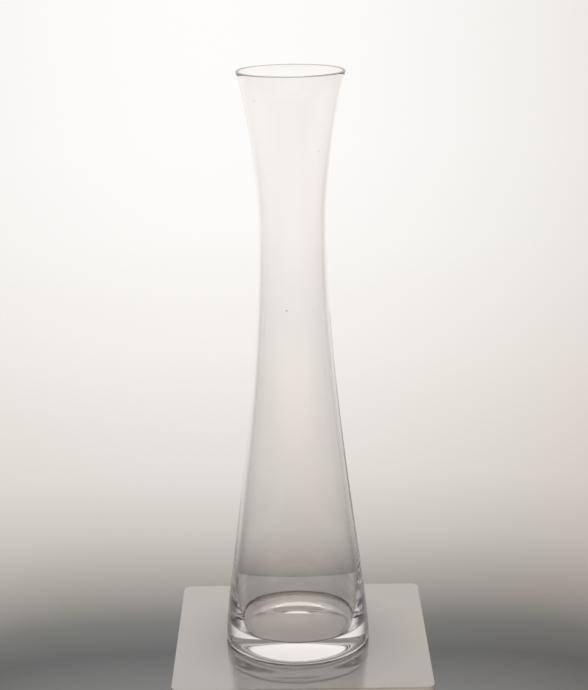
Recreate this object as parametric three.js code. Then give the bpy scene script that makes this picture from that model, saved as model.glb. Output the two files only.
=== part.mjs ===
// A tall flower vase in one piece of clear blown glass: a wide, heavy foot, a body that narrows to a
// slim waist, and a flared mouth with a rounded lip. It is hollow and open at the top.
// Millimetres, +Z up. The origin is the centre of the foot, on the surface that the vase stands on.
import * as THREE from 'three';

// Outside
const HEIGHT = 350;
const FOOT_RADIUS = 43.94;          // the widest place, just above the heel
const WAIST_RADIUS = 19.65;         // the narrowest place
const WAIST_HEIGHT = 264;
const MOUTH_RADIUS = 31.65;         // over the lip
const LIP_HALF_WIDTH = 0.9;         // the lip is rounded, a little flatter than a half circle
const LIP_RISE = 0.6;
const LIP_FLARE = 0.34;             // how far the wall leans out for each mm it rises, just below the lip
const HEEL_RADIUS = 3;              // rounding between the foot's side and its underside

// How far each end of the two side curves runs on along its own direction
const FOOT_REACH = 30.6;
const WAIST_REACH_DOWN = 105.3;
const WAIST_REACH_UP = 18.2;
const LIP_REACH = 17.8;

// Underside: a flat ring to stand on, round a shallow hollow
const RING_INNER_RADIUS = 34;
const KICK_HEIGHT = 2.8;

// Inside: a thin wall that thickens into the base, and a lightly domed floor
const WALL = 2;
const BASE_THICKENING = 5;          // extra wall where the base begins
const BASE_FADE = 19;               // height over which that extra wall dies away
const LIP_FADE = 6;                 // depth over which the wall thins to the lip
const FLOOR_HEIGHT = 12.2;
const FLOOR_CORNER = 1.2;           // rounding between the wall and the floor
const FLOOR_DOME = 0.5;
const CORNER_CLEAR = 1;             // no wall point comes closer than this above the corner

// Fineness of the solid
const SIDES_ROUND = 64;
const STEPS = { kick: 7, heel: 5, body: 20, mouth: 10, lipSide: 4, corner: 4, floor: 5 };

// Every outline point is (distance from the axis, height).
const point = (radius, height) => new THREE.Vector2(radius, height);

function arc(centre, radius, rise, fromAngle, toAngle, steps) {
  const points = [];
  for (let i = 0; i <= steps; i++) {
    const angle = fromAngle + (toAngle - fromAngle) * i / steps;
    points.push(point(centre.x + radius * Math.cos(angle), centre.y + rise * Math.sin(angle)));
  }
  return points;
}

// A shallow round swelling that meets the flat round it without a crease.
function swelling(height, radius, distance) {
  return height * (1 - (distance / radius) ** 2) ** 2;
}

// Centre of the underside out to the standing ring
function underside() {
  const points = [];
  for (let i = 0; i <= STEPS.kick; i++) {
    const distance = RING_INNER_RADIUS * i / STEPS.kick;
    points.push(point(distance, swelling(KICK_HEIGHT, RING_INNER_RADIUS, distance)));
  }
  return points;
}

const heelCentre = point(FOOT_RADIUS - HEEL_RADIUS, HEEL_RADIUS);
const lipCentre = point(MOUTH_RADIUS - LIP_HALF_WIDTH, HEIGHT - LIP_RISE);
const lipLean = Math.atan(LIP_FLARE);
const lipArc = (from, to) => arc(lipCentre, LIP_HALF_WIDTH, LIP_RISE, from, to, STEPS.lipSide);

// The side of the vase in two smooth curves, foot to waist and waist to lip
function side() {
  const foot = point(FOOT_RADIUS, HEEL_RADIUS);
  const waist = point(WAIST_RADIUS, WAIST_HEIGHT);
  const lip = lipArc(-lipLean, -lipLean)[0];
  const body = new THREE.CubicBezierCurve(
    foot, point(foot.x, foot.y + FOOT_REACH), point(waist.x, waist.y - WAIST_REACH_DOWN), waist);
  const mouth = new THREE.CubicBezierCurve(
    waist, point(waist.x, waist.y + WAIST_REACH_UP),
    point(lip.x - LIP_FLARE * LIP_REACH, lip.y - LIP_REACH), lip);
  return [...body.getPoints(STEPS.body), ...mouth.getPoints(STEPS.mouth).slice(1)];
}

function wallThickness(height) {
  const base = BASE_THICKENING * Math.exp((FLOOR_HEIGHT - height) / BASE_FADE);
  const lip = (2 * LIP_HALF_WIDTH - WALL) * Math.exp((height - HEIGHT) / LIP_FADE);
  return WALL + base + lip;
}

// Radius of the side at a height, between the points on either side of it
function radiusAt(height, sidePoints) {
  const next = sidePoints.findIndex((p) => p.y >= height);
  const [low, high] = [sidePoints[next - 1], sidePoints[next]];
  return low.x + (high.x - low.x) * (height - low.y) / (high.y - low.y);
}

// The inner face from just under the lip down to the corner of the floor, and in to the axis
function inside(sidePoints) {
  const cornerTop = FLOOR_HEIGHT + FLOOR_CORNER;
  const lipBottom = HEIGHT - 2 * LIP_RISE;
  const wall = sidePoints
    .filter((p) => p.y > cornerTop + CORNER_CLEAR && p.y < lipBottom)
    .map((p) => point(p.x - wallThickness(p.y), p.y))
    .reverse();
  const wallFoot = radiusAt(cornerTop, sidePoints) - wallThickness(cornerTop);
  const cornerCentre = point(wallFoot - FLOOR_CORNER, cornerTop);
  const corner = arc(cornerCentre, FLOOR_CORNER, FLOOR_CORNER, 0, -Math.PI / 2, STEPS.corner);
  const floor = [];
  for (let i = 1; i <= STEPS.floor; i++) {
    const distance = cornerCentre.x * (1 - i / STEPS.floor);
    floor.push(point(distance, FLOOR_HEIGHT + swelling(FLOOR_DOME, cornerCentre.x, distance)));
  }
  return [...wall, ...corner, ...floor];
}

const sidePoints = side();
const outline = [
  ...underside(),
  ...arc(heelCentre, HEEL_RADIUS, HEEL_RADIUS, -Math.PI / 2, 0, STEPS.heel),
  ...sidePoints.slice(1),
  ...lipArc(-lipLean, Math.PI / 2).slice(1),
  ...lipArc(Math.PI / 2, Math.PI - lipLean).slice(1),
  ...inside(sidePoints),
];

const clearGlass = new THREE.MeshStandardMaterial({
  color: 0xeef1ef, roughness: 0.03, metalness: 0, transparent: true, opacity: 0.35,
});

const vase = new THREE.Mesh(new THREE.LatheGeometry(outline, SIDES_ROUND), clearGlass);
vase.name = 'vase_body';
vase.rotation.x = Math.PI / 2;      // the lathe turns round Y; stand it up on Z

const group = new THREE.Group();
group.add(vase);

export default group;
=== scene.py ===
# A tall, empty vase of clear blown glass on a small pale square of floor, in a soft pale studio.
# Metres, +Z up, in the frame of the CAD model, whose outline the fine glass follows.
import math
import bpy
import numpy as np
from mathutils import Matrix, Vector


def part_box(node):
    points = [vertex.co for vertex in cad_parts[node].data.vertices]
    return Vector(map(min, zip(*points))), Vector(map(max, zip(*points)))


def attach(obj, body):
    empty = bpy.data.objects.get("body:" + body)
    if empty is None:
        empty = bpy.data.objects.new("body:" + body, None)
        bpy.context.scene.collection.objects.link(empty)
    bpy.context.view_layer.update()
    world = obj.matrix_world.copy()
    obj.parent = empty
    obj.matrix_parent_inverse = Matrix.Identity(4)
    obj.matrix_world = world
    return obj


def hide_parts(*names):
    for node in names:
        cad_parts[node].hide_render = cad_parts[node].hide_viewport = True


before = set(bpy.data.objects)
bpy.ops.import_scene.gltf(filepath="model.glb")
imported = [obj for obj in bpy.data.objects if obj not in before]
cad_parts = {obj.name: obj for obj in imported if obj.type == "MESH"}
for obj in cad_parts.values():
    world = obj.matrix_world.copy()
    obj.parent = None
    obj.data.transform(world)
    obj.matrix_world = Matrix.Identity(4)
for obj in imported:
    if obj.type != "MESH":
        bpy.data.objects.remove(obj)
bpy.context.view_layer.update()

MM = 0.001
NODE = "vase_body"
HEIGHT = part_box(NODE)[1].z

# Fineness of the glass surface
SIDES_ROUND = 360
TIGHT_SPAN = 5.5 * MM                # a shorter span of the CAD outline is on a tight curve
FINE_ABOVE = HEIGHT - 24 * MM        # the glass near the lip is made as fine
FINE_STEPS = 4
LONGEST_STEP = 5.5 * MM              # elsewhere

# Unevenness of the walls: waves as (how many round the vase, height in mm, turns of drift up its height)
OUTER_WAVES = [(2, 0.05, 0.4), (3, 0.03, -0.7), (5, 0.012, 1.1)]
INNER_WAVES = [(2, 0.10, -0.5), (3, 0.07, 0.8), (5, 0.03, -1.3), (9, 0.010, 0.7)]
INNER_WAVES_RISE = (25 * MM, 110 * MM)   # where they grow from their least share to full
INNER_WAVES_LEAST = 0.15
WAVE_SWAY, WAVE_SWAY_TURN = 0.6, 5       # radians that a wave sways sideways, and how fast on the way up
STEADY_FOOT = (2 * MM, 14 * MM)          # no waves below the first, all of them above the second
STEADY_MIDDLE = (0, 12 * MM)             # the same, outward from the axis

# Fine upright streaks low on the inner wall, as waves whose heights are shares of the depth
STREAK_WAVES = [(41, 0.5, 1.6), (59, 0.5, 2.4), (83, 0.4, -1.3)]
STREAK_DEPTH = 0.006                     # mm
STREAKS_START = (13 * MM, 22 * MM)
STREAKS_END = (60 * MM, 110 * MM)

# Fine level lines round the foot
RIDGE_STRETCH = (25, 25, 1100)       # in features per metre
RIDGE_HEIGHTS = (5 * MM, 10 * MM)    # full strength below the first, none above the second
RIDGE_DEPTH = 0.5                    # as a share of the slow bumps

GLASS_IOR = 1.5
GLASS_TINT = (0.998, 0.988, 0.984)
GLASS_SEED = 7
HAZE_PATCHES = 40                    # features per metre
HAZE_RANGE = (0.5, 0.8)              # of the noise: clear below the first, dullest above the second
MOST_HAZE = 0.02                     # roughness in the dullest patches
SLOW_BUMPS = 60                      # features per metre
SLOW_STRETCH = (1, 1, 0.25)          # drawn out upward
GLASS_BUMP = (0.15, 0.2 * MM)        # strength and height
SPECK_TINT = (0.30, 0.29, 0.27)
SPECK_CELLS = 260                    # per metre, so a cell is about 4 mm wide
SPECK_SHARE = 0.006                  # of the cells hold a speck
SPECK_SIZE = 0.13                    # as a share of a cell

CORNER_SHADE_LINE = (0.5 * MM, 1.4 * MM)   # a painted dark line of shade along the corner of the inner floor
# the colour of that painted shade line
CORNER_SHADE_TINT = (0.12, 0.10, 0.09)

GROUND_LIP = 0.48 * MM               # the top of the lip, down to here, is ground and softly polished
LIP_CLEARNESS = 0.25
LIP_TINTS = (0.80, 0.77, 0.765), (0.72, 0.69, 0.685)
LIP_ROUGHNESS = (0.30, 0.42)
LIP_PATCHES, LIP_GRAIN = 250, 900    # features per metre
LIP_GRAIN_RANGE = (0.35, 0.65)       # of the noise, for the two roughnesses
LIP_BUMP = (0.2, 0.05 * MM)          # strength and height

# Floor: a square of pale glossy sheet under the vase, with a thin air gap under the foot
FLOOR_HALF_SIZES = (77.2 * MM, 79.5 * MM)
FLOOR_THICKNESS = 5 * MM
FLOOR_CORNER = 5 * MM
FLOOR_MIDDLE = (2.6 * MM, 4.5 * MM)
AIR_GAP = 0.15 * MM
FLOOR_BEVEL = 0.8 * MM
# Its colour at a distance in mm from the axis, with painted light and shade: paler under the middle of the
# foot as if lit through the glass, a dark painted contact shadow where the foot nearly touches it, and
# painted shade that fades out to the sheet's own colour at 80 mm
FLOOR_COLOUR_AND_PAINTED_LIGHT = [(0, (0.90, 0.855, 0.81)), (30, (0.86, 0.82, 0.78)), (33, (0.42, 0.395, 0.37)),
               (38, (0.38, 0.355, 0.33)), (40.5, (0.03, 0.03, 0.03)), (43.2, (0.04, 0.04, 0.04)),
               (44.3, (0.42, 0.405, 0.385)), (80, (0.52, 0.50, 0.475))]
TONES_REACH = 100                        # mm, at the end of the colour ramp
# A painted highlight: the sheet's sides and bevelled edge made paler, as where they catch the light
FLOOR_EDGE_HIGHLIGHT = (0.92, 0.86, 0.80)
FLOOR_EDGE_HIGHLIGHT_DEPTHS = (0.3 * MM, 0.9 * MM)     # below the floor's top, where that painted highlight takes over
FLOOR_ROUGHNESS, FLOOR_COAT_ROUGHNESS = 0.03, 0.02
# A painted shadow strip before and behind the foot, in place of the vase's soft shadow and its reflection in
# the glossy sheet
SHADOW_STRIP_HALF_WIDTHS = (43.5 * MM, 36 * MM)     # unshaded beyond the first, fully shaded within the second
SHADOW_STRIP_SPREAD = 0.037                         # its widening towards the back
SHADOW_STRIP_ENDS = (42 * MM, 47 * MM)              # it begins between these distances from the axis
SHADOW_STRIP_TINT = (0.64, 0.66, 0.655)            # what is left of the colour there
SHADOW_STRIP_GLOSS = 0.7                            # and of the gloss

# Camera: above the mouth and looking down a little, tipped slightly to one side
CAMERA_DISTANCE = 1.086
CAMERA_HEIGHT = 0.480
CAMERA_PITCH = 15.095                # degrees down
CAMERA_ROLL = -0.77                  # degrees
CAMERA_LENS = 98.7                   # mm

BOUNCES = 40                         # enough for light that is caught in the walls to get out again
TRANSPARENT_BOUNCES = 24


# ---------------------------------------------------------------- the outline of the CAD model

def read_outline(node):
    """The half section of a turned solid, as rows of radius and height.

    They run from the centre of its underside, up the outside, over the lip and down the inside to
    the centre of its floor.
    """
    together = 0.05 * MM
    corners, corner_near, corner_of = [], {}, []
    for vertex in node.data.vertices:
        place = (math.hypot(vertex.co.x, vertex.co.y), vertex.co.z)
        rounded = (round(place[0] / MM, 2), round(place[1] / MM, 2))
        if rounded not in corner_near:
            near = [i for i, corner in enumerate(corners) if math.dist(corner, place) < together]
            if not near:
                corners.append(place)
            corner_near[rounded] = near[0] if near else len(corners) - 1
        corner_of.append(corner_near[rounded])
    neighbours = {i: set() for i in range(len(corners))}
    for edge in node.data.edges:
        a, b = (corner_of[i] for i in edge.vertices)
        if a != b:
            neighbours[a].add(b)
            neighbours[b].add(a)
    here = min((i for i in neighbours if corners[i][0] < together), key=lambda i: corners[i][1])
    path = [here]
    while True:
        onward = [i for i in neighbours[here] if i not in path]
        if not onward:
            break
        here = onward[0]
        path.append(here)
    return np.array([corners[i] for i in path])


def smooth_curve(points):
    """A natural cubic spline through the points, as closely spaced rows of radius and height."""
    gaps = np.linalg.norm(np.diff(points, axis=0), axis=1)
    spans = np.sqrt(gaps)
    count = len(points)
    matrix = np.zeros((count, count))
    target = np.zeros((count, 2))
    matrix[0, 0] = matrix[-1, -1] = 1
    slopes = np.diff(points, axis=0) / spans[:, None]
    for i in range(1, count - 1):
        matrix[i, i - 1:i + 2] = spans[i - 1], 2 * (spans[i - 1] + spans[i]), spans[i]
        target[i] = 6 * (slopes[i] - slopes[i - 1])
    bend = np.linalg.solve(matrix, target)
    rows = []
    for i, span in enumerate(spans):
        fine = gaps[i] < TIGHT_SPAN or points[i, 1] > FINE_ABOVE
        steps = FINE_STEPS if fine else math.ceil(gaps[i] / LONGEST_STEP)
        for t in np.arange(steps) * span / steps:
            u = span - t
            rows.append((bend[i] * u**3 + bend[i + 1] * t**3) / (6 * span)
                        + (points[i] / span - bend[i] * span / 6) * u
                        + (points[i + 1] / span - bend[i + 1] * span / 6) * t)
    rows.append(points[-1])
    rows = np.array(rows)
    rows[:, 0] = np.maximum(rows[:, 0], 0)
    rows[:, 1] = np.maximum(rows[:, 1], 0)
    return rows


# ---------------------------------------------------------------- blown glass

def ease(low, high, value):
    """0 up to low, 1 from high, and a smooth step between."""
    t = np.clip((value - low) / (high - low), 0, 1)
    return t * t * (3 - 2 * t)


def waviness(rng, angle, height, waves):
    """Unevenness of blown glass in mm: a few drifting waves round the vase."""
    total = np.zeros_like(angle)
    for round_count, strength, drift in waves:
        phase, turn = rng.uniform(0, 2 * math.pi, 2)
        sway = WAVE_SWAY * np.sin(height / HEIGHT * WAVE_SWAY_TURN + turn)
        total += strength * np.sin(round_count * angle + phase + drift * height / HEIGHT * 2 * math.pi
                                   + sway)
    return total


def uneven_rings(outline):
    """Rings of points turned from the outline, with the slight unevenness of hand-worked glass."""
    rng = np.random.default_rng(GLASS_SEED)
    tangent = np.gradient(outline, axis=0)
    tangent /= np.linalg.norm(tangent, axis=1)[:, None]
    normal = np.stack([tangent[:, 1], -tangent[:, 0]], axis=1)[1:-1]
    radius, height = outline[1:-1, 0, None], outline[1:-1, 1, None]
    angle = np.linspace(0, 2 * math.pi, SIDES_ROUND, endpoint=False)
    around = np.broadcast_to(angle, (len(radius), SIDES_ROUND))
    up = np.broadcast_to(height, around.shape)
    outer = waviness(rng, around, up, OUTER_WAVES)
    inner = waviness(rng, around, up, INNER_WAVES)
    inner *= INNER_WAVES_LEAST + (1 - INNER_WAVES_LEAST) * ease(*INNER_WAVES_RISE, up)
    streaks = waviness(rng, around, up, STREAK_WAVES)
    inner += STREAK_DEPTH * streaks * ease(*STREAKS_START, up) * (1 - ease(*STREAKS_END, up))
    lip = int(np.argmax(height))
    is_inner = (np.arange(len(height)) > lip)[:, None]
    unsteady = ease(*STEADY_FOOT, up) * ease(*STEADY_MIDDLE, radius)
    shift = np.where(is_inner, inner, outer) * MM * unsteady
    r = radius + shift * normal[:, 0, None]
    z = up + shift * normal[:, 1, None]
    return np.stack([r * np.cos(around), r * np.sin(around), z], axis=-1)


def glass_mesh(outline):
    """The turned vase. Faces on the ground top of the lip take the second material."""
    rings = uneven_rings(outline).reshape(-1, 3).tolist()
    vertices = [(0, 0, outline[0, 1])] + rings + [(0, 0, outline[-1, 1])]
    on_top = outline[1:-1, 1] > HEIGHT - GROUND_LIP
    faces, slots = [], []
    last = len(vertices) - 1
    last_ring = last - SIDES_ROUND
    for side in range(SIDES_ROUND):
        beside = (side + 1) % SIDES_ROUND
        faces.append((0, 1 + beside, 1 + side))
        faces.append((last, last_ring + side, last_ring + beside))
        slots += [0, 0]
        for ring in range(len(on_top) - 1):
            low = 1 + ring * SIDES_ROUND
            high = low + SIDES_ROUND
            faces.append((low + side, low + beside, high + beside, high + side))
            slots.append(int(on_top[ring] and on_top[ring + 1]))
    mesh = bpy.data.meshes.new("blown_glass")
    mesh.from_pydata(vertices, [], faces)
    mesh.polygons.foreach_set("use_smooth", [True] * len(mesh.polygons))
    mesh.polygons.foreach_set("material_index", slots)
    mesh.update()
    return mesh


# ---------------------------------------------------------------- materials

def new_material(name):
    material = bpy.data.materials.new(name)
    material.use_nodes = True
    tree = material.node_tree
    return material, tree, tree.nodes["Principled BSDF"]


def own_place(tree):
    """A point's place in the object's own coordinates, in metres."""
    return tree.nodes.new("ShaderNodeTexCoord").outputs["Object"]


def split_up(tree, vector):
    """The X, Y and Z of a vector, as a node's outputs."""
    node = tree.nodes.new("ShaderNodeSeparateXYZ")
    tree.links.new(vector, node.inputs["Vector"])
    return node.outputs


def vector_math(tree, operation, a, b=None):
    """One step of vector arithmetic, as a node's outputs. b is a socket or three numbers."""
    node = tree.nodes.new("ShaderNodeVectorMath")
    node.operation = operation
    tree.links.new(a, node.inputs[0])
    if isinstance(b, bpy.types.NodeSocket):
        tree.links.new(b, node.inputs[1])
    elif b is not None:
        node.inputs[1].default_value = b
    return node.outputs


def noise(tree, scale, detail, stretch=(1, 1, 1)):
    """Noise in the object's own coordinates, in features per metre."""
    place = tree.nodes.new("ShaderNodeMapping")
    place.inputs["Scale"].default_value = stretch
    texture = tree.nodes.new("ShaderNodeTexNoise")
    texture.inputs["Scale"].default_value = scale
    texture.inputs["Detail"].default_value = detail
    texture.inputs["Roughness"].default_value = 0.5
    tree.links.new(own_place(tree), place.inputs["Vector"])
    tree.links.new(place.outputs["Vector"], texture.inputs["Vector"])
    return texture.outputs["Fac"]


def colour_ramp(tree, length, stops, low, high):
    """Colours against a length in metres. The stops, low and high are in mm."""
    share = tree.nodes.new("ShaderNodeMapRange")
    share.inputs["From Min"].default_value = low * MM
    share.inputs["From Max"].default_value = high * MM
    tree.links.new(length, share.inputs["Value"])
    ramp = tree.nodes.new("ShaderNodeValToRGB")
    elements = ramp.color_ramp.elements
    elements.remove(elements[0])
    for i, (millimetres, colour) in enumerate(stops):
        position = (millimetres - low) / (high - low)
        element = elements[0] if i == 0 else elements.new(position)
        element.position = position
        element.color = (*colour, 1)
    tree.links.new(share.outputs["Result"], ramp.inputs["Fac"])
    return ramp.outputs["Color"]


def remap(tree, value, from_low, from_high, to_low, to_high):
    """A smooth step from one number to another, as the value passes from from_low to from_high."""
    node = tree.nodes.new("ShaderNodeMapRange")
    node.interpolation_type = "SMOOTHSTEP"
    for name, number in (("From Min", from_low), ("From Max", from_high),
                         ("To Min", to_low), ("To Max", to_high)):
        node.inputs[name].default_value = number
    tree.links.new(value, node.inputs["Value"])
    return node.outputs["Result"]


def arithmetic(tree, operation, *values):
    """One step of arithmetic on sockets and numbers."""
    node = tree.nodes.new("ShaderNodeMath")
    node.operation = operation
    for socket, value in zip(node.inputs, values):
        if isinstance(value, bpy.types.NodeSocket):
            tree.links.new(value, socket)
        else:
            socket.default_value = value
    return node.outputs["Value"]


def mix_colour(tree, factor, a, b):
    """A colour between a and b, each a socket or three numbers."""
    node = tree.nodes.new("ShaderNodeMix")
    node.data_type = "RGBA"
    tree.links.new(factor, node.inputs["Factor"])
    for socket in node.inputs:
        if socket.type != "RGBA":
            continue
        colour = a if socket.name == "A" else b
        if isinstance(colour, bpy.types.NodeSocket):
            tree.links.new(colour, socket)
        else:
            socket.default_value = (*colour, 1)
    return next(socket for socket in node.outputs if socket.type == "RGBA")


def specks(tree):
    """The tint of the glass, with a few grains of dust and tiny seeds in the surface."""
    cells = tree.nodes.new("ShaderNodeTexVoronoi")
    cells.inputs["Scale"].default_value = SPECK_CELLS
    tree.links.new(own_place(tree), cells.inputs["Vector"])
    pick = tree.nodes.new("ShaderNodeSeparateColor")
    tree.links.new(cells.outputs["Color"], pick.inputs["Color"])
    chosen = arithmetic(tree, "GREATER_THAN", pick.outputs["Red"], 1 - SPECK_SHARE)
    close = arithmetic(tree, "LESS_THAN", cells.outputs["Distance"], SPECK_SIZE)
    speck = arithmetic(tree, "MULTIPLY", chosen, close)
    return mix_colour(tree, speck, GLASS_TINT, SPECK_TINT)


def distance_from_circle(tree, radius, height):
    """How far a point is from a level circle about the vase's axis."""
    where = own_place(tree)
    level = vector_math(tree, "MULTIPLY", where, (1, 1, 0))["Vector"]
    section = tree.nodes.new("ShaderNodeCombineXYZ")
    tree.links.new(vector_math(tree, "LENGTH", level)["Value"], section.inputs["X"])
    tree.links.new(split_up(tree, where)["Z"], section.inputs["Z"])
    return vector_math(tree, "DISTANCE", section.outputs["Vector"], (radius, 0, height))["Value"]


def bump(tree, shader, height, strength, distance):
    """Bumps on a shader's surface."""
    node = tree.nodes.new("ShaderNodeBump")
    node.inputs["Strength"].default_value = strength
    node.inputs["Distance"].default_value = distance
    tree.links.new(height, node.inputs["Height"])
    tree.links.new(node.outputs["Normal"], shader.inputs["Normal"])


def clear_glass(inner_corner):
    """Clear glass with a trace of haze, and a painted dark line of shade along a circle given as its radius
    and height.
    """
    material, tree, shader = new_material("clear_glass")
    shader.inputs["Transmission Weight"].default_value = 1.0
    shader.inputs["IOR"].default_value = GLASS_IOR
    haze = remap(tree, noise(tree, HAZE_PATCHES, 4), *HAZE_RANGE, 0, MOST_HAZE)
    tree.links.new(haze, shader.inputs["Roughness"])
    # painted shade: a dark line along the corner of the inner floor
    corner_shade = remap(tree, distance_from_circle(tree, *inner_corner), *CORNER_SHADE_LINE, 1, 0)
    tint = mix_colour(tree, corner_shade, specks(tree), CORNER_SHADE_TINT)
    tree.links.new(tint, shader.inputs["Base Color"])
    slow = noise(tree, SLOW_BUMPS, 2, stretch=SLOW_STRETCH)
    lines = noise(tree, 1, 2, stretch=RIDGE_STRETCH)
    low_down = remap(tree, split_up(tree, own_place(tree))["Z"], *RIDGE_HEIGHTS, RIDGE_DEPTH, 0)
    bump(tree, shader, arithmetic(tree, "MULTIPLY_ADD", lines, low_down, slow), *GLASS_BUMP)
    return material


def ground_glass():
    """The top of the lip: ground, then softly polished."""
    material, tree, shader = new_material("ground_glass")
    shader.inputs["Transmission Weight"].default_value = LIP_CLEARNESS
    shader.inputs["IOR"].default_value = GLASS_IOR
    grain = noise(tree, LIP_GRAIN, 3)
    roughness = remap(tree, grain, *LIP_GRAIN_RANGE, *LIP_ROUGHNESS)
    tree.links.new(roughness, shader.inputs["Roughness"])
    tint = mix_colour(tree, noise(tree, LIP_PATCHES, 2), *LIP_TINTS)
    tree.links.new(tint, shader.inputs["Base Color"])
    bump(tree, shader, grain, *LIP_BUMP)
    return material


def floor_sheet():
    """Glossy pale sheet with painted light and shade by distance from the foot, a painted shadow strip and a
    painted highlight on its paler sides.
    """
    material, tree, shader = new_material("pale_floor")
    where = own_place(tree)
    across, along, up = split_up(tree, where)
    apart = vector_math(tree, "LENGTH", where)["Value"]
    # the sheet's colour with painted light under the foot and a painted contact shadow round it
    tone = colour_ramp(tree, apart, FLOOR_COLOUR_AND_PAINTED_LIGHT, 0, TONES_REACH)
    aside = arithmetic(tree, "ABSOLUTE", across)
    aside = arithmetic(tree, "MULTIPLY_ADD", along, -SHADOW_STRIP_SPREAD, aside)
    # painted shadow strip before and behind the foot, darkening the colour and the gloss
    in_strip = remap(tree, aside, *SHADOW_STRIP_HALF_WIDTHS, 0, 1)
    strip = arithmetic(tree, "MULTIPLY", in_strip, remap(tree, apart, *SHADOW_STRIP_ENDS, 0, 1))
    shade = vector_math(tree, "MULTIPLY", tone, SHADOW_STRIP_TINT)["Vector"]
    shaded = mix_colour(tree, strip, tone, shade)
    # painted highlight on the sheet's sides and bevel
    on_lit_edge = remap(tree, up, *(-AIR_GAP - depth for depth in FLOOR_EDGE_HIGHLIGHT_DEPTHS), 0, 1)
    tree.links.new(mix_colour(tree, on_lit_edge, shaded, FLOOR_EDGE_HIGHLIGHT), shader.inputs["Base Color"])
    gloss = arithmetic(tree, "MULTIPLY_ADD", strip, SHADOW_STRIP_GLOSS - 1, 1.0)
    tree.links.new(gloss, shader.inputs["Coat Weight"])
    shader.inputs["Roughness"].default_value = FLOOR_ROUGHNESS
    shader.inputs["Coat Roughness"].default_value = FLOOR_COAT_ROUGHNESS
    return material


# ---------------------------------------------------------------- stage

def rounded_rectangle(half_sizes, corner, corner_steps=6):
    """Points round a rectangle with rounded corners."""
    points = []
    for quarter, (right, back) in enumerate([(1, 1), (-1, 1), (-1, -1), (1, -1)]):
        cx, cy = right * (half_sizes[0] - corner), back * (half_sizes[1] - corner)
        for step in range(corner_steps + 1):
            angle = (quarter + step / corner_steps) * math.pi / 2
            points.append((cx + corner * math.cos(angle), cy + corner * math.sin(angle)))
    return points


def make_floor():
    points = rounded_rectangle(FLOOR_HALF_SIZES, FLOOR_CORNER)
    top = -AIR_GAP
    vertices = [(x + FLOOR_MIDDLE[0], y + FLOOR_MIDDLE[1], z)
                for z in (top - FLOOR_THICKNESS, top) for x, y in points]
    count = len(points)
    faces = [tuple(reversed(range(count))), tuple(range(count, 2 * count))]
    faces += [(i, (i + 1) % count, count + (i + 1) % count, count + i) for i in range(count)]
    mesh = bpy.data.meshes.new("floor")
    mesh.from_pydata(vertices, [], faces)
    floor = bpy.data.objects.new("floor", mesh)
    bpy.context.scene.collection.objects.link(floor)
    edge = floor.modifiers.new("soft_edge", "BEVEL")
    edge.width = FLOOR_BEVEL
    edge.segments = 3
    edge.limit_method = "ANGLE"
    mesh.materials.append(floor_sheet())


# The studio is a rounded square curtain of light close about the vase, seen only from inside. A stop is a
# height in mm above the foot and the light there. What shows past or through the glass is the backdrop, the
# same all round. What the glass and the floor reflect is the room, with its own light behind, beside and
# in front.
CURTAIN_RADIUS = 300 * MM
CURTAIN_BOTTOM, CURTAIN_TOP = -420, 700    # in mm, as the stops are
CURTAIN_SIDES = 128
CURTAIN_SQUARENESS = 4                     # 2 would be a circle
BACKDROP = [(-420, (0.50, 0.50, 0.49)), (-200, (0.26, 0.26, 0.25)), (-145, (0.15, 0.15, 0.15)),
            (-118, (0.21, 0.21, 0.20)), (-94, (0.36, 0.335, 0.305)), (-45, (0.61, 0.58, 0.54)),
            (4, (0.77, 0.73, 0.69)), (100, (0.90, 0.86, 0.82)), (190, (0.96, 0.95, 0.93)),
            (260, (0.985, 0.975, 0.96)), (700, (1.0, 0.99, 0.98))]
ROOM_BEHIND = [(-420, (0.03, 0.03, 0.035)), (-120, (0.20, 0.20, 0.20)), (-45, (0.61, 0.58, 0.54)),
               (100, (0.90, 0.86, 0.82)), (300, (1.0, 0.98, 0.96)), (420, (0.85, 0.76, 0.66)),
               (700, (0.80, 0.70, 0.60))]
ROOM_BESIDE = [(-420, (0.03, 0.03, 0.035)), (-60, (0.04, 0.04, 0.05)), (110, (0.10, 0.105, 0.125)),
               (160, (0.20, 0.20, 0.21)), (220, (0.85, 0.83, 0.82)), (700, (1.0, 0.97, 0.95))]
ROOM_IN_FRONT = [(-420, (0.40, 0.37, 0.35)), (-130, (0.30, 0.28, 0.26)), (-79, (0.66, 0.60, 0.55)),
                 (0, (0.60, 0.55, 0.50)), (45, (0.08, 0.08, 0.08)), (100, (0.08, 0.08, 0.08)),
                 (140, (0.45, 0.42, 0.39)), (200, (0.62, 0.58, 0.55)), (300, (0.50, 0.47, 0.44)),
                 (350, (0.24, 0.23, 0.22)), (400, (0.24, 0.23, 0.22)), (425, (0.90, 0.90, 0.85)),
                 (520, (0.90, 0.90, 0.85)), (550, (0.18, 0.18, 0.18)), (700, (0.18, 0.18, 0.18))]
# Where along Y the room counts as behind or in front
NONE_BEHIND, FULL_BEHIND = 0.56 * CURTAIN_RADIUS, 0.95 * CURTAIN_RADIUS
NONE_IN_FRONT, FULL_IN_FRONT = -0.36 * CURTAIN_RADIUS, -0.97 * CURTAIN_RADIUS
BRIGHTEST = -60 * MM                       # the light is strongest a little to the left and fades sideways
SIDEWAYS_FADE = (1.84, 2.1, 2.3)           # share of red, green and blue lost, times the square of the metres
# Outside the curtain, the strength of the light below and overhead, and how steeply upward overhead is
BELOW, OVERHEAD = 0.45, 1.0
OVERHEAD_STARTS, OVERHEAD_FULL = 0.6, 0.9
OVERHEAD_COLOUR = (1.0, 0.93, 0.86)


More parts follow.
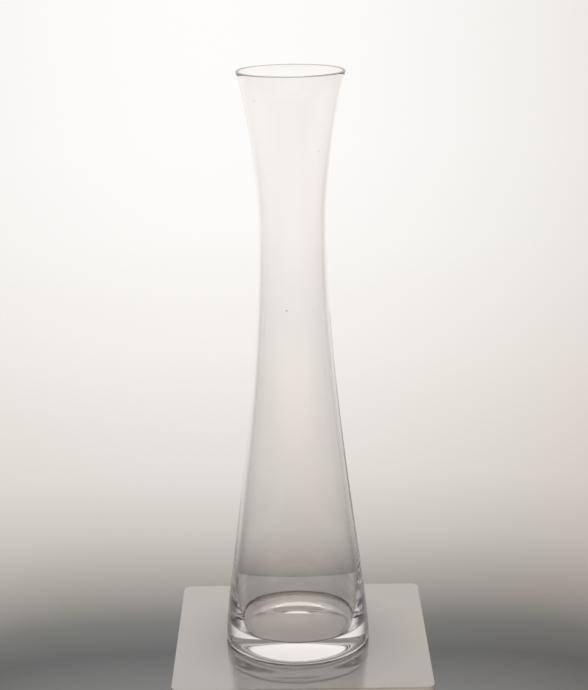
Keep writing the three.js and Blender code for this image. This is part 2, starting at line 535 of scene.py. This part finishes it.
def curtain_light():
    """Light that shines inward only, and differs between what is seen straight and what is reflected."""
    material = bpy.data.materials.new("curtain_light")
    material.use_nodes = True
    tree = material.node_tree
    tree.nodes.clear()
    across, forward, height = split_up(tree, own_place(tree))
    aside = arithmetic(tree, "SUBTRACT", across, BRIGHTEST)
    aside = arithmetic(tree, "MULTIPLY", aside, aside)
    backdrop, behind, beside, front = (colour_ramp(tree, height, stops, CURTAIN_BOTTOM, CURTAIN_TOP)
                                       for stops in (BACKDROP, ROOM_BEHIND, ROOM_BESIDE, ROOM_IN_FRONT))
    is_front = remap(tree, forward, NONE_IN_FRONT, FULL_IN_FRONT, 0, 1)
    is_behind = remap(tree, forward, NONE_BEHIND, FULL_BEHIND, 0, 1)
    room = mix_colour(tree, is_behind, mix_colour(tree, is_front, beside, front), behind)
    path = tree.nodes.new("ShaderNodeLightPath")
    turned_back = arithmetic(tree, "ADD", path.outputs["Glossy Depth"], path.outputs["Diffuse Depth"])
    reflected = arithmetic(tree, "GREATER_THAN", turned_back, 0.5)
    fade = tree.nodes.new("ShaderNodeCombineXYZ")
    for axis, rate in zip("XYZ", SIDEWAYS_FADE):
        tree.links.new(arithmetic(tree, "MULTIPLY_ADD", aside, -rate, 1.0), fade.inputs[axis])
    seen = mix_colour(tree, reflected, backdrop, room)
    light = vector_math(tree, "MULTIPLY", seen, fade.outputs["Vector"])["Vector"]
    glow = tree.nodes.new("ShaderNodeEmission")
    tree.links.new(light, glow.inputs["Color"])
    clear = tree.nodes.new("ShaderNodeBsdfTransparent")
    facing = tree.nodes.new("ShaderNodeNewGeometry")
    choose = tree.nodes.new("ShaderNodeMixShader")
    tree.links.new(facing.outputs["Backfacing"], choose.inputs["Fac"])
    tree.links.new(glow.outputs["Emission"], choose.inputs[1])
    tree.links.new(clear.outputs["BSDF"], choose.inputs[2])
    output = tree.nodes.new("ShaderNodeOutputMaterial")
    tree.links.new(choose.outputs["Shader"], output.inputs["Surface"])
    material.cycles.emission_sampling = "FRONT"
    return material


def make_curtain():
    power = CURTAIN_SQUARENESS
    outline = []
    for i in range(CURTAIN_SIDES):
        turn = 2 * math.pi * i / CURTAIN_SIDES
        x, y = math.sin(turn), math.cos(turn)
        reach = CURTAIN_RADIUS / (x ** power + y ** power) ** (1 / power)
        outline.append((reach * x, reach * y))
    vertices = [(x, y, height * MM) for height in (CURTAIN_BOTTOM, CURTAIN_TOP) for x, y in outline]
    faces = [(i, (i + 1) % CURTAIN_SIDES, CURTAIN_SIDES + (i + 1) % CURTAIN_SIDES, CURTAIN_SIDES + i)
             for i in range(CURTAIN_SIDES)]
    mesh = bpy.data.meshes.new("curtain")
    mesh.from_pydata(vertices, [], faces)
    mesh.materials.append(curtain_light())
    curtain = bpy.data.objects.new("curtain", mesh)
    bpy.context.scene.collection.objects.link(curtain)


def make_world():
    world = bpy.data.worlds.new("studio")
    bpy.context.scene.world = world
    world.use_nodes = True
    tree = world.node_tree
    background = tree.nodes["Background"]
    background.inputs["Color"].default_value = (*OVERHEAD_COLOUR, 1)
    upward = split_up(tree, tree.nodes.new("ShaderNodeTexCoord").outputs["Generated"])["Z"]
    strength = remap(tree, upward, OVERHEAD_STARTS, OVERHEAD_FULL, BELOW, OVERHEAD)
    tree.links.new(strength, background.inputs["Strength"])


def make_camera():
    data = bpy.data.cameras.new("camera")
    data.sensor_width = 36
    data.lens = CAMERA_LENS
    data.clip_start = 0.01
    camera = bpy.data.objects.new("camera", data)
    bpy.context.scene.collection.objects.link(camera)
    place = Matrix.Translation((0, -CAMERA_DISTANCE, CAMERA_HEIGHT))
    pitch = Matrix.Rotation(math.radians(90 - CAMERA_PITCH), 4, "X")
    roll = Matrix.Rotation(math.radians(CAMERA_ROLL), 4, "Z")
    camera.matrix_world = place @ pitch @ roll
    bpy.context.scene.camera = camera


# ---------------------------------------------------------------- the scene

make_camera()
make_world()
make_curtain()
make_floor()

outline = smooth_curve(read_outline(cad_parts[NODE]))
inside = outline[int(np.argmax(outline[:, 1])):]
inner_corner = inside[int(np.argmax(inside[:, 0] - inside[:, 1]))].tolist()
vase = bpy.data.objects.new("blown_glass_vase", glass_mesh(outline))
bpy.context.scene.collection.objects.link(vase)
vase.data.materials.append(clear_glass(inner_corner))
vase.data.materials.append(ground_glass())
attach(vase, "root")
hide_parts(NODE)

scene = bpy.context.scene
scene.view_settings.view_transform = "Standard"
scene.cycles.max_bounces = scene.cycles.transmission_bounces = scene.cycles.glossy_bounces = BOUNCES
scene.cycles.transparent_max_bounces = TRANSPARENT_BOUNCES
